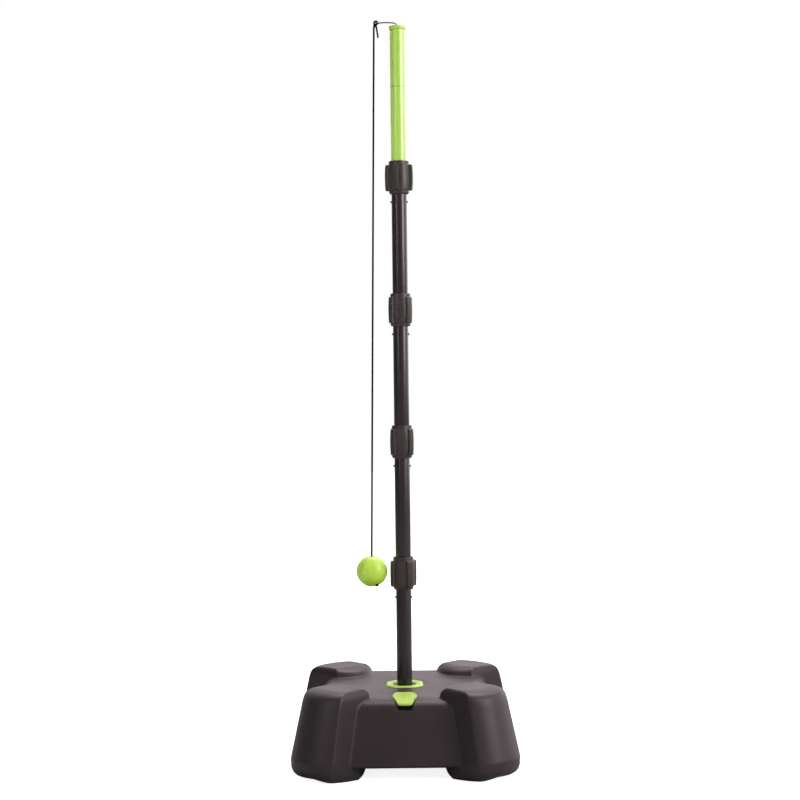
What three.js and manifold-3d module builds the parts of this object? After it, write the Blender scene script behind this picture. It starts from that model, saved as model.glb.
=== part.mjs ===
// Tether-ball tennis trainer: a water-filled base, a five-section mast with twist nuts, and a ball on a cord.
// Millimetres, +Z up. The origin is on the floor under the mast.
// The filler cap faces -Y and the ball hangs at -X.
import * as THREE from "three";
import { ConvexGeometry } from "three/addons/geometries/ConvexGeometry.js";
import { mergeVertices } from "three/addons/utils/BufferGeometryUtils.js";
import Module from "manifold-3d";

const wasm = await Module();
wasm.setup();

// ---- Driving dimensions ----
const GAP = 0.3; // running or resting gap between two pieces

const DECK_Z = 157; // top of the tank between its corner pillars
const BELLY_Z = 25; // underside of the tank between its feet
const DRAFT = 0.232; // how far each wall leans in for each millimetre of height
const WALL_Y = 171; // front wall's distance from the mast axis, at WALL_Y_HEIGHT
const WALL_Y_HEIGHT = 150;
const WALL = 5; // tank wall
const PILLAR_OUT = 232; // outer face of a corner pillar at its widest height
const PILLAR_WIDE_Z = 39;
const CROWN_Z = 177; // top of a pillar

const WELL_FLOOR_Z = 33;
const WELL_R = 20.3;
const WELL_WALL = 4.2;

const TUBE_R = 16;
const TUBE_WALL = 1.4;
const COUPLINGS_Z = [391.5, 667, 942.5, 1218]; // nut centres
const MAST_FOOT_Z = WELL_FLOOR_Z + 3.6;
const MAST_TOP_Z = 1533.5;
const LIP_HEIGHT = 8.5; // how far the top bush stands above the top tube
const TUBE_TOP_H = -5; // a lower tube's end, from its nut's centre
const TUBE_FOOT_H = 4; // an upper tube's end, from its nut's centre
const PIN_H = -49.5; // cross pin, from its nut's centre
const PIN_R = 2.2;
const PIN_LENGTH = 37;
const SLEEVE_R = 18.7; // threaded sleeve that a nut screws onto

const NUT_FOOT_H = -33; // a nut's ends, and the ends of its wide body, from its centre
const NUT_TOP_H = 35.5;
const BODY_FOOT_H = -26;
const BODY_TOP_H = 27.5;
const NECK_R = 21;
const PANEL_R = 24.6;
const WING_R = 29.7;
const WING_WIDTH = 10.4;
const NUT_TURNS = [34, 46, 42, -13]; // degrees each nut happens to be turned, lowest first

const CAP_Y = -118; // centre of the filler neck
const CAP_FRONT_Y = -163;
const NECK_BORE_R = 11;

const ARM_R = 1.5;
const ARM_Z = 1541.3;
const EYE = new THREE.Vector3(-40.8, 0, 1540.6); // centre of the flat eye at the arm's end
const EYE_R = 3.7;
const CORD_R = 2;
const TIGHT_R = 1.8; // the cord where a knot squeezes it
const KNOT = new THREE.Vector3(EYE.x - EYE_R - 1.1, 0, EYE.z - 5.4);
const CORD_TOP = new THREE.Vector3(KNOT.x - 3, 0, KNOT.z - 3.9);
const BALL_R = 32.5;
const BALL = new THREE.Vector3(-66, 0, 397);
const BALL_EXIT = new THREE.Vector3(10.9, -10.6, -28.7).normalize(); // from the ball's centre

// ---- Materials ----
const finish = (color, roughness, metalness = 0) =>
  new THREE.MeshStandardMaterial({ color, roughness, metalness });
const CHARCOAL = finish(0x3a3436, 0.55);
const NUT_BLACK = finish(0x3c3734, 0.45);
const TUBE_BLACK = finish(0x2a2725, 0.3, 0.3);
const LIME_PAINT = finish(0xacd068, 0.25, 0.2);
const LIME_PLASTIC = finish(0xbee176, 0.4);
const LIME_FOAM = finish(0xb4d95c, 0.85);
const BLACK_PLASTIC = finish(0x1d1b1c, 0.5);
const WIRE = finish(0x7d6e64, 0.4, 0.8);
const STEEL = finish(0x8a8884, 0.35, 0.9);
const RUBBER = finish(0x191919, 0.9);
const CORD_BLACK = finish(0x161415, 0.9);

// ---- Solids ----
function solid(geometry) {
  const bare = geometry.clone();
  bare.deleteAttribute("normal");
  bare.deleteAttribute("uv");
  const merged = mergeVertices(bare, 1e-4);
  return new wasm.Manifold(
    new wasm.Mesh({
      numProp: 3,
      vertProperties: new Float32Array(merged.attributes.position.array),
      triVerts: new Uint32Array(merged.index.array),
    }),
  );
}

function surface(manifold) {
  const mesh = manifold.getMesh();
  const geometry = new THREE.BufferGeometry();
  geometry.setAttribute("position", new THREE.BufferAttribute(new Float32Array(mesh.vertProperties), 3));
  geometry.setIndex(new THREE.BufferAttribute(new Uint32Array(mesh.triVerts), 1));
  geometry.computeVertexNormals();
  return geometry;
}

// A turned piece about Z, from [radius, height] pairs that run up its outside.
function turned(profile, segments = 24) {
  const points = profile.map(([r, h]) => new THREE.Vector2(r, h));
  return new THREE.LatheGeometry(points, segments).rotateX(Math.PI / 2);
}

// A turned piece with a bore: its profile closes on itself.
const ring = (profile, segments = 24) => turned([...profile, profile[0]], segments);

function rod(radius, low, high, segments = 24) {
  return new THREE.CylinderGeometry(radius, radius, high - low, segments)
    .rotateX(Math.PI / 2)
    .translate(0, 0, (low + high) / 2);
}

function block(low, high) {
  const size = high.map((v, i) => v - low[i]);
  const middle = high.map((v, i) => (v + low[i]) / 2);
  return new THREE.BoxGeometry(...size).translate(...middle);
}

// A round bar along a route of points.
function bar(points, radius, sides, steps) {
  const circle = [];
  for (let i = 0; i < sides; i++) {
    const a = (2 * Math.PI * i) / sides;
    circle.push(new THREE.Vector2(radius * Math.cos(a), radius * Math.sin(a)));
  }
  const route = new THREE.CatmullRomCurve3(points, false, "catmullrom", 0.5);
  const section = new THREE.Shape(circle);
  return new THREE.ExtrudeGeometry(section, { extrudePath: route, steps, bevelEnabled: false });
}

const model = new THREE.Group();

function add(name, geometry, material, parent = model) {
  const mesh = new THREE.Mesh(geometry, material);
  mesh.name = name;
  parent.add(mesh);
  return mesh;
}

// ---- Base tank ----
const wallAt = (z) => WALL_Y + (WALL_Y_HEIGHT - z) * DRAFT;
const pillarFaceAt = (z) => PILLAR_OUT + (PILLAR_WIDE_Z - z) * DRAFT * 0.92;

// Points of a square with round corners, centred on the mast axis.
function roundSquare(half, radius, z, steps = 5) {
  const points = [];
  for (let corner = 0; corner < 4; corner++)
    for (let i = 0; i <= steps; i++) {
      const a = (Math.PI / 2) * (corner + i / steps);
      const cx = (half - radius) * (corner === 0 || corner === 3 ? 1 : -1);
      const cy = (half - radius) * (corner < 2 ? 1 : -1);
      points.push(new THREE.Vector3(cx + radius * Math.cos(a), cy + radius * Math.sin(a), z));
    }
  return points;
}

// The middle of the tank: a drafted block with rounded top and bottom edges.
function bodyGeometry(inset) {
  const levels = [
    [BELLY_Z, -9],
    [BELLY_Z + 3, -2.5],
    [BELLY_Z + 9, 0],
    [DECK_Z - 17, 0],
    [DECK_Z - 7, -3],
    [DECK_Z - 2, -9],
    [DECK_Z, -20],
  ];
  const low = BELLY_Z + inset;
  const high = DECK_Z - inset;
  const points = levels.flatMap(([z, step]) => {
    const level = Math.min(Math.max(z, low), high);
    return roundSquare(wallAt(z) + step - inset, 40, level);
  });
  return new ConvexGeometry(points);
}

// One corner pillar in the +X +Y quadrant, symmetric about the diagonal.
// A level is [height, how far its outer face is drawn in, how far its corner is cut across,
// how far its tips are drawn in].
const PILLAR_LEVELS = [
  [0, 28, 34, 14],
  [3, 20, 30, 8],
  [10, 10, 20, 3],
  [22, 3, 8, 0],
  [PILLAR_WIDE_Z, 0, 0, 0],
  [DECK_Z - 5, 0, 0, 0],
  [DECK_Z + 9, 2, 1, 2],
  [DECK_Z + 15, 6, 3, 7],
  [DECK_Z + 18.5, 13, 6, 14],
  [CROWN_Z, 26, 12, 27],
];

function pillarOutline([z, draw, cut, tip], inset) {
  const face = pillarFaceAt(z) - draw - inset;
  const edge = 142.4 + (46 - z) * 0.127 - draw * 0.35 - inset * 0.4; // where the front face meets the chamfer
  const tipX = edge - 57 + tip * 0.9 + inset;
  const tipY = face - 61 + draw + tip * 0.2 + inset;
  const round = face - edge;
  const half = [new THREE.Vector2(tipX, tipY), new THREE.Vector2(edge, face)];
  const arcSteps = 4;
  for (let i = 1; i <= arcSteps; i++) {
    const a = Math.PI / 2 - ((Math.PI / 4) * i) / arcSteps;
    const flat = cut * Math.sin(Math.PI / 2 - a) * 0.75;
    half.push(new THREE.Vector2(edge + round * Math.cos(a) - flat, edge + round * Math.sin(a) - flat));
  }
  const waist = new THREE.Vector2(92 + tip * 0.8 + inset, 92 + tip * 0.8 + inset);
  const other = half.map((p) => new THREE.Vector2(p.y, p.x));
  return [waist, ...half, ...other];
}

function pillarGeometry(inset) {
  const top = CROWN_Z - inset;
  const points = PILLAR_LEVELS.flatMap((level) => {
    const z = Math.min(Math.max(level[0], inset), top);
    return pillarOutline(level, inset).map((p) => new THREE.Vector3(p.x, p.y, z));
  });
  return new ConvexGeometry(points);
}

function hull(inset) {
  let whole = solid(bodyGeometry(inset));
  for (const [x, y] of [[1, 1], [-1, 1], [-1, -1], [1, -1]]) {
    whole = whole.add(solid(pillarGeometry(inset)).scale([x, y, 1]));
  }
  return whole;
}

// The filler cap's outline seen from above: a curved back edge, and sides that close in towards the front.
function capOutline(grow) {
  const shape = new THREE.Shape();
  shape.moveTo(15 + grow * 0.8, CAP_FRONT_Y - grow);
  shape.lineTo(25.5 + grow, -124);
  shape.quadraticCurveTo(18, -91 + grow * 2, 0, -90 + grow);
  shape.quadraticCurveTo(-18, -91 + grow * 2, -25.5 - grow, -124);
  shape.lineTo(-15 - grow * 0.8, CAP_FRONT_Y - grow);
  return shape;
}

function upright(shape, low, high) {
  const options = { depth: high - low, bevelEnabled: false, curveSegments: 4 };
  return new THREE.ExtrudeGeometry(shape, options).translate(0, 0, low);
}

// A side profile of [y, z] pairs, drawn out along X.
function sideways(profile, halfWidth) {
  const shape = new THREE.Shape(profile.map(([y, z]) => new THREE.Vector2(y, z)));
  return new THREE.ExtrudeGeometry(shape, { depth: 2 * halfWidth, bevelEnabled: false })
    .rotateX(Math.PI / 2)
    .rotateZ(Math.PI / 2)
    .translate(-halfWidth, 0, 0);
}

const CAP_TOP = [[-80, 158.5], [-138, 158.5], [-150, 156.5], [-158, 153.8], [-168, 149]];
const CAP_THICK = 4.5;
const SEAT_DROP = CAP_THICK + 1.5;

function tankGeometry() {
  const seat = [...CAP_TOP.map(([y, z]) => [y, z - SEAT_DROP]), [-200, 136], [-200, 200], [-80, 200]];
  const pocket = solid(sideways(seat.reverse(), 40)).intersect(solid(upright(capOutline(1.2), 100, 200)));
  const fingerRecess = solid(block([-14.5, -215, 136.5], [14.5, -150, 151]));
  const rearBoss = solid(block([-31, -190, 130], [31, -82, 156]));
  const well = solid(rod(WELL_R + WELL_WALL, BELLY_Z + 2, DECK_Z - 2, 32));
  let cavity = hull(WALL).subtract(rearBoss).subtract(well);
  cavity = cavity.add(solid(rod(NECK_BORE_R, 125, 170).translate(0, CAP_Y, 0)));
  return surface(
    hull(0)
      .subtract(cavity)
      .subtract(pocket)
      .subtract(fingerRecess)
      .subtract(solid(rod(WELL_R, WELL_FLOOR_Z, DECK_Z + 20, 32))),
  );
}

function capGeometry() {
  const foot = CAP_TOP.map(([y, z]) => [y, z - CAP_THICK]).reverse();
  const plate = solid(sideways([...CAP_TOP, ...foot], 40)).intersect(solid(upright(capOutline(0), 100, 200)));
  const plug = solid(rod(NECK_BORE_R - 0.6, 131, 155).translate(0, CAP_Y, 0));
  return surface(plate.add(plug));
}

function octagonRing() {
  const flat = 22;
  const reach = 38.5;
  const bevel = 1;
  const outline = [];
  const middle = new THREE.Vector2();
  for (let quarter = 0; quarter < 4; quarter++)
    for (const y of [-flat, flat])
      outline.push(new THREE.Vector2(reach - bevel, y).rotateAround(middle, (quarter * Math.PI) / 2));
  const shape = new THREE.Shape(outline);
  const hole = new THREE.Path().absarc(0, 0, 25 + bevel, 0, 2 * Math.PI, true);
  shape.holes.push(hole);
  const edges = { bevelThickness: bevel, bevelSize: bevel, bevelSegments: 2 };
  const options = { depth: 1.2, curveSegments: 12, ...edges };
  return new THREE.ExtrudeGeometry(shape, options).translate(0, 0, DECK_Z + GAP + bevel);
}

function buildBase() {
  add("base_tank", tankGeometry(), CHARCOAL);
  add("filler_cap", capGeometry(), LIME_PLASTIC);
  const sealZ = 152.8;
  const seal = ring([[11.3, 0], [14.5, 0], [14.5, 0.9], [11.3, 0.9]], 18).translate(0, CAP_Y, sealZ);
  add("filler_seal", seal, RUBBER);
  const floor = WELL_FLOOR_Z + GAP;
  const collar = DECK_Z + GAP;
  const bore = TUBE_R + 0.4;
  const bush = [
    [0, floor], [20, floor], [20, collar], [24.2, collar], [24.2, collar + 1.8], [bore, collar + 1.8],
    [bore, MAST_FOOT_Z - GAP], [0, MAST_FOOT_Z - GAP],
  ];
  add("socket_bush", turned(bush), BLACK_PLASTIC);
  add("lock_ring", octagonRing(), LIME_PLASTIC);
}

// ---- Mast ----
function tubeGeometry(low, high, pinZ) {
  const inner = TUBE_R - TUBE_WALL;
  const wall = solid(ring([[inner, low], [TUBE_R, low], [TUBE_R, high], [inner, high]]));
  if (pinZ === undefined) return surface(wall);
  return surface(wall.subtract(pinHole(pinZ)));
}

const pinHole = (z) => solid(rod(PIN_R + 0.2, -22, 22, 12).rotateY(Math.PI / 2).translate(0, 0, z));

// The moulded insert that a cross pin holds in a tube's upper end; its outer sleeve carries the nut's thread.
function spigotGeometry() {
  const plug = TUBE_R - TUBE_WALL - GAP;
  const slot = TUBE_R + GAP;
  const top = TUBE_TOP_H + GAP;
  const profile = [
    [9, -62], [plug, -62], [plug, top], [slot, top], [slot, -31], [SLEEVE_R, -31], [SLEEVE_R, 0], [9, 0],
  ];
  return surface(solid(ring(profile, 18)).subtract(pinHole(PIN_H)));
}

// The plug in a tube's lower end: a pilot that drops into the spigot, and a flange that the nut pulls down.
function ferruleGeometry() {
  const flange = TUBE_FOOT_H - GAP;
  const plug = TUBE_R - TUBE_WALL - GAP;
  const rim = SLEEVE_R - 0.6;
  const profile = [
    [5, -22], [8.7, -22], [8.7, GAP], [rim, GAP], [rim, flange], [plug, flange], [plug, 42], [5, 42],
  ];
  return ring(profile, 18);
}

function nutGeometry() {
  const barrel = [
    [0, NUT_FOOT_H], [NECK_R - 3, NUT_FOOT_H], [NECK_R, NUT_FOOT_H + 3.5], [NECK_R, BODY_FOOT_H - 2],
    [PANEL_R - 1.2, BODY_FOOT_H], [PANEL_R, -8], [PANEL_R, 8], [PANEL_R - 1.2, BODY_TOP_H],
    [NECK_R, BODY_TOP_H + 2], [NECK_R, NUT_TOP_H - 2], [NECK_R - 1.5, NUT_TOP_H], [0, NUT_TOP_H],
  ];
  const reach = [
    [0, BODY_FOOT_H], [WING_R - 3, BODY_FOOT_H], [WING_R - 1, BODY_FOOT_H + 2.5], [WING_R, -8],
    [WING_R, 8], [WING_R - 1, BODY_TOP_H - 2.5], [WING_R - 3, BODY_TOP_H], [0, BODY_TOP_H],
  ];
  const half = WING_WIDTH / 2;
  const long = WING_R + 5;
  const across = solid(block([-long, -half, NUT_FOOT_H], [long, half, NUT_TOP_H]));
  const along = solid(block([-half, -long, NUT_FOOT_H], [half, long, NUT_TOP_H]));
  const wings = across.add(along).intersect(solid(turned(reach)));
  const thread = SLEEVE_R + 0.4;
  const slide = TUBE_R + 0.5;
  const bore = [
    [0, NUT_FOOT_H - 1], [thread, NUT_FOOT_H - 1], [thread, 6], [slide, 10], [slide, NUT_TOP_H + 1],
    [0, NUT_TOP_H + 1],
  ];
  return surface(solid(turned(barrel)).add(wings).subtract(solid(turned(bore, 20))));
}

function buildMast() {
  const names = ["mast_tube_1", "mast_tube_2", "mast_tube_3", "mast_tube_4", "top_tube"];
  names.forEach((name, i) => {
    const low = i === 0 ? MAST_FOOT_Z : COUPLINGS_Z[i - 1] + TUBE_FOOT_H;
    const last = i === COUPLINGS_Z.length;
    const high = last ? MAST_TOP_Z - LIP_HEIGHT : COUPLINGS_Z[i] + TUBE_TOP_H;
    const pinZ = last ? undefined : COUPLINGS_Z[i] + PIN_H;
    add(name, tubeGeometry(low, high, pinZ), last ? LIME_PAINT : TUBE_BLACK);
  });
  COUPLINGS_Z.forEach((z, i) => {
    const place = new THREE.Group();
    place.position.z = z;
    model.add(place);
    add(`spigot_${i + 1}`, spigotGeometry(), BLACK_PLASTIC, place);
    add(`ferrule_${i + 1}`, ferruleGeometry(), BLACK_PLASTIC, place);
    const pin = rod(PIN_R, -PIN_LENGTH / 2, PIN_LENGTH / 2, 12).rotateY(Math.PI / 2).translate(0, 0, PIN_H);
    add(`cross_pin_${i + 1}`, pin, STEEL, place);
    const nut = add(`twist_nut_${i + 1}`, nutGeometry(), NUT_BLACK, place);
    nut.rotation.z = THREE.MathUtils.degToRad(NUT_TURNS[i]);
  });
}

// ---- Swivel head ----
function buildHead() {
  const shoulder = MAST_TOP_Z - LIP_HEIGHT + GAP;
  const plug = TUBE_R - TUBE_WALL - GAP;
  const lip = TUBE_R + 1.1;
  const bore = ARM_R + 0.4;
  const bush = [
    [bore, 1496], [plug, 1496], [plug, shoulder], [lip, shoulder], [lip, MAST_TOP_Z - 1.5],
    [lip - 1.5, MAST_TOP_Z], [bore, MAST_TOP_Z],
  ];
  add("top_bush", ring(bush), LIME_PLASTIC);
  const armRoute = [
    new THREE.Vector3(0, 0, 1484),
    new THREE.Vector3(0, 0, 1512),
    new THREE.Vector3(0, 0, ARM_Z - 9),
    new THREE.Vector3(-1.8, 0, ARM_Z - 4),
    new THREE.Vector3(-6, 0, ARM_Z - 1.5),
    new THREE.Vector3(-14, 0, ARM_Z - 0.3),
    new THREE.Vector3(-25, 0, ARM_Z),
    new THREE.Vector3(EYE.x + EYE_R + 0.6, 0, EYE.z),
  ];
  const eye = new THREE.TorusGeometry(EYE_R, ARM_R, 6, 14).translate(EYE.x, EYE.y, EYE.z);
  add("swivel_arm", surface(solid(bar(armRoute, ARM_R, 8, 22)).add(solid(eye))), WIRE);
  add("arm_clip", ring([[bore, 1490], [6.5, 1490], [6.5, 1491.2], [bore, 1491.2]], 12), STEEL);
}

// ---- Tether: knot in the arm's eye, cord, ball, and the knot that holds the ball ----
function buildTether() {
  const loop = new THREE.TorusGeometry(EYE_R, TIGHT_R, 6, 14)
    .rotateX(Math.PI / 2)
    .translate(EYE.x - EYE_R, 0, EYE.z);
  const bead = new THREE.SphereGeometry(3.4, 10, 6).rotateX(Math.PI / 2).translate(KNOT.x, KNOT.y, KNOT.z);
  const tail = [[1, -1.6, -0.8], [2.6, -2.3, -7.7], [5.4, -1.8, -24.7]].map(([x, y, z]) =>
    KNOT.clone().add(new THREE.Vector3(x, y, z)),
  );
  add("eye_knot", surface(solid(loop).add(solid(bead)).add(solid(bar(tail, CORD_R, 8, 6)))), CORD_BLACK);

  const entry = BALL.clone().add(new THREE.Vector3(0, 0, BALL_R + 3));
  const exit = BALL.clone().addScaledVector(BALL_EXIT, BALL_R - 1.7);
  const route = [];
  for (let i = 0; i <= 14; i++) route.push(CORD_TOP.clone().lerp(entry, i / 14));
  const inBall = BALL.clone().add(new THREE.Vector3(0, 0, BALL_R - 2));
  route.push(inBall);
  for (let i = 1; i <= 3; i++) route.push(inBall.clone().lerp(exit, i / 3));
  add("tether_cord", bar(route, CORD_R, 8, 48), CORD_BLACK);

  const mouth = entry.clone().setZ(entry.z + 3);
  const outlet = exit.clone().lerp(inBall, -0.2);
  const bore = bar([mouth, inBall, inBall.clone().lerp(exit, 0.5), outlet], CORD_R + 1.7, 8, 12);
  const foam = new THREE.SphereGeometry(BALL_R, 22, 14)
    .rotateX(Math.PI / 2)
    .translate(BALL.x, BALL.y, BALL.z);
  const seat = BALL.clone().addScaledVector(BALL_EXIT, BALL_R + 2.4);
  const dimple = new THREE.SphereGeometry(5, 12, 8).translate(seat.x, seat.y, seat.z);
  add("ball", surface(solid(foam).subtract(solid(bore)).subtract(solid(dimple))), LIME_FOAM);
  add("ball_knot", new THREE.SphereGeometry(3.6, 10, 6).translate(seat.x, seat.y, seat.z), CORD_BLACK);
}

buildBase();
buildMast();
buildHead();
buildTether();

export default model;
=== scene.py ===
"""Looks of the tether-ball trainer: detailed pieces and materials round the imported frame.

Lengths are in metres; tables say so where they are in millimetres.
"""
import math

import bmesh
import bpy
import numpy as np
from mathutils import Matrix, Vector, noise


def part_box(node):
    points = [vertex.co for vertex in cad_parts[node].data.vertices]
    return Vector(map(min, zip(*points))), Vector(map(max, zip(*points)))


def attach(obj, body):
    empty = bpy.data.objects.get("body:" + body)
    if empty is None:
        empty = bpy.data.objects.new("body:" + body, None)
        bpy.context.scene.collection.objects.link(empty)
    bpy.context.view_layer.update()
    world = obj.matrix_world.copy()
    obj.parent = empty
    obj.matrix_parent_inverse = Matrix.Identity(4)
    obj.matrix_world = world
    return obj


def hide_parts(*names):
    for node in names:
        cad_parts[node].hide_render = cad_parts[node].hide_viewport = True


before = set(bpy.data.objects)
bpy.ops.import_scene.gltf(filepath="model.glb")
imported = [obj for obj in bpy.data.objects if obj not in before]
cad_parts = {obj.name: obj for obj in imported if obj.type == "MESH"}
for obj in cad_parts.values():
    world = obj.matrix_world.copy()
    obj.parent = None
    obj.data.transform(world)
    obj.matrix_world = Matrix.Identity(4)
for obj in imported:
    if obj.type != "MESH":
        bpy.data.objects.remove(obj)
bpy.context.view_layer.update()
MM = 0.001
TAU = 2 * math.pi

# ---- Camera: level with the middle of the mast and nearly four metres in front of it ----
CAMERA_PLACE = Vector((0.0, -3.7, 0.853))
CAMERA_AIM = Vector((-0.0030, 0.0, 0.7554))
CAMERA_LENS = 79.6
CAMERA_ROLL = math.radians(0.66)


def build_camera():
    data = bpy.data.cameras.new("camera")
    data.lens = CAMERA_LENS
    data.sensor_width = 36
    data.clip_end = 100
    camera = bpy.data.objects.new("camera", data)
    turn = (CAMERA_AIM - CAMERA_PLACE).to_track_quat("-Z", "Y").to_matrix().to_4x4()
    roll = Matrix.Rotation(-CAMERA_ROLL, 4, "Z")
    camera.matrix_world = Matrix.Translation(CAMERA_PLACE) @ turn @ roll
    bpy.context.scene.collection.objects.link(camera)
    bpy.context.scene.camera = camera


# ---- Node helpers for materials ----
MAP_LIMITS = ("From Min", "From Max", "To Min", "To Max")  # a Map Range node's inputs


class Shader:
    """A Principled material with textures in object space, so patterns keep their real size."""

    def __init__(self, name, colour, roughness, metallic=0.0, **sockets):
        self.material = bpy.data.materials.new(name)
        self.material.use_nodes = True
        self.tree = self.material.node_tree
        self.out = self.tree.nodes["Principled BSDF"]
        self.out.inputs["Base Color"].default_value = (*colour, 1)
        self.out.inputs["Roughness"].default_value = roughness
        self.out.inputs["Metallic"].default_value = metallic
        for key, value in sockets.items():
            self.out.inputs[key.replace("_", " ")].default_value = value
        self.colour = colour
        self.place = self.tree.nodes.new("ShaderNodeTexCoord").outputs["Object"]

    def link(self, a, b):
        self.tree.links.new(a, b)

    def node(self, kind, **settings):
        made = self.tree.nodes.new(kind)
        for key, value in settings.items():
            setattr(made, key, value)
        return made

    def stretched(self, scale):
        mapping = self.node("ShaderNodeMapping")
        mapping.inputs["Scale"].default_value = scale
        self.link(self.place, mapping.inputs["Vector"])
        return mapping.outputs["Vector"]

    def noise(self, scale, detail=3.0, rough=0.5, place=None):
        made = self.node("ShaderNodeTexNoise")
        made.inputs["Scale"].default_value = scale
        made.inputs["Detail"].default_value = detail
        made.inputs["Roughness"].default_value = rough
        self.link(place or self.place, made.inputs["Vector"])
        return made.outputs["Fac"]

    def ranged(self, value, low, high, from_low=0.3, from_high=0.7):
        made = self.node("ShaderNodeMapRange")
        for key, number in zip(MAP_LIMITS, (from_low, from_high, low, high)):
            made.inputs[key].default_value = number
        self.link(value, made.inputs["Value"])
        return made.outputs["Result"]

    def mixed(self, factor, a, b):
        made = self.node("ShaderNodeMix", data_type="RGBA")
        self.link(factor, made.inputs["Factor"])
        for socket, value in ((made.inputs[6], a), (made.inputs[7], b)):
            if isinstance(value, tuple):
                socket.default_value = (*value, 1)
            else:
                self.link(value, socket)
        return made.outputs[2]

    def tone(self, shade):
        return tuple(c * shade for c in self.colour)

    def mottle(self, scale, dark, light, detail=4.0):
        """Base colour drifting between two shades of itself; returns the colour socket."""
        drift = self.ranged(self.noise(scale, detail), 0, 1)
        colour = self.mixed(drift, self.tone(dark), self.tone(light))
        self.link(colour, self.out.inputs["Base Color"])
        return colour

    def rough(self, scale, low, high):
        self.link(self.ranged(self.noise(scale), low, high), self.out.inputs["Roughness"])

    def bump(self, heights, distance, strength=1.0):
        made = self.node("ShaderNodeBump")
        made.inputs["Strength"].default_value = strength
        made.inputs["Distance"].default_value = distance
        self.link(heights, made.inputs["Height"])
        previous = self.out.inputs["Normal"]
        if previous.is_linked:
            self.link(previous.links[0].from_socket, made.inputs["Normal"])
        self.link(made.outputs["Normal"], previous)


def rubbed_and_highlit_edges(shader, colour, light, low, high):
    """Paler convex edges over a colour socket: partly wear, partly painted edge highlight."""
    # Convex edges are painted paler: partly rubbed wear, partly a painted highlight.
    pointed = shader.node("ShaderNodeNewGeometry").outputs["Pointiness"]
    wear_and_highlight_mask = shader.ranged(pointed, 0, 1, low, high)
    patchy = shader.ranged(shader.noise(55, 5), 0, 1, 0.4, 0.65)
    both = shader.node("ShaderNodeMath", operation="MULTIPLY")
    shader.link(wear_and_highlight_mask, both.inputs[0])
    shader.link(patchy, both.inputs[1])
    shader.link(shader.mixed(both.outputs[0], colour, light), shader.out.inputs["Base Color"])


WARM = (1, 0.88, 0.9, 1)  # the warm cast of the black mouldings' sheen
MARK_Z = 1.4075  # height of the line round the lime tube


def base_plastic():
    s = Shader("base_plastic", (0.0235, 0.0185, 0.02), 0.4,
               Specular_IOR_Level=0.46, Specular_Tint=WARM)
    colour = s.mottle(9, 0.9, 1.12)
    # The paler edges are partly wear and partly a painted highlight along the pillars' edges.
    rubbed_and_highlit_edges(s, colour, (0.08, 0.07, 0.072), 0.515, 0.58)
    s.rough(14, 0.4, 0.48)
    s.bump(s.noise(1500, 3, 0.6), 0.00018, 0.5)
    s.bump(s.noise(28, 2), 0.0007, 0.35)
    return s.material


def nut_plastic():
    s = Shader("nut_plastic", (0.03, 0.026, 0.024), 0.36, Specular_Tint=WARM)
    colour = s.mottle(30, 0.9, 1.12)
    # The paler edges are partly wear and partly a painted highlight along the wings' edges.
    rubbed_and_highlit_edges(s, colour, (0.075, 0.066, 0.062), 0.55, 0.65)
    s.rough(60, 0.32, 0.45)
    s.bump(s.noise(2200, 2, 0.6), 0.00008, 0.5)
    return s.material


def black_plastic():
    s = Shader("black_plastic", (0.02, 0.018, 0.018), 0.4, Specular_Tint=WARM)
    s.mottle(60, 0.85, 1.25)
    s.rough(90, 0.34, 0.48)
    s.bump(s.noise(1800, 2), 0.00006, 0.5)
    return s.material


def lime_plastic():
    s = Shader("lime_plastic", (0.41, 0.61, 0.085), 0.4, Subsurface_Weight=0.05)
    s.out.inputs["Subsurface Radius"].default_value = (0.003, 0.004, 0.001)
    s.mottle(45, 0.95, 1.04)
    s.rough(80, 0.33, 0.44)
    s.bump(s.noise(1600, 2), 0.00006, 0.5)
    return s.material


def black_tube():
    s = Shader("black_tube", (0.013, 0.0105, 0.0105), 0.32,
               Coat_Weight=0.3, Coat_Roughness=0.2, Specular_Tint=WARM)
    s.mottle(20, 0.85, 1.2)
    streaks = s.noise(90, 4, 0.55, s.stretched((1, 1, 0.06)))
    s.link(s.ranged(streaks, 0.26, 0.36), s.out.inputs["Roughness"])
    s.bump(s.noise(420, 2), 0.00004, 0.4)
    return s.material


def lime_tube():
    """Satin paint, with a thin dark line round the tube."""
    s = Shader("lime_tube", (0.375, 0.66, 0.05), 0.34,
               Coat_Weight=1.0, Coat_Roughness=0.36, Coat_IOR=1.85)
    colour = s.mottle(14, 0.98, 1.02)
    height = s.node("ShaderNodeSeparateXYZ")
    s.link(s.place, height.inputs[0])
    line = s.node("ShaderNodeMath", operation="COMPARE")
    line.inputs[1].default_value = MARK_Z
    line.inputs[2].default_value = 0.0006
    s.link(height.outputs["Z"], line.inputs[0])
    s.link(s.mixed(line.outputs[0], colour, s.tone(0.3)), s.out.inputs["Base Color"])
    s.rough(70, 0.27, 0.34)
    s.bump(s.noise(420, 2), 0.00002, 0.3)
    return s.material


def brushed(name, colour, roughness, along):
    s = Shader(name, colour, roughness, metallic=0.85)
    s.mottle(140, 0.8, 1.2)
    lines = s.noise(1500, 4, 0.6, s.stretched(along))
    s.link(s.ranged(lines, roughness - 0.08, roughness + 0.12), s.out.inputs["Roughness"])
    s.bump(lines, 0.00003, 0.5)
    return s.material


def rubber():
    s = Shader("rubber", (0.012, 0.012, 0.012), 0.75)
    s.mottle(120, 0.8, 1.3)
    s.bump(s.noise(1300, 3), 0.00008, 0.5)
    return s.material


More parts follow.
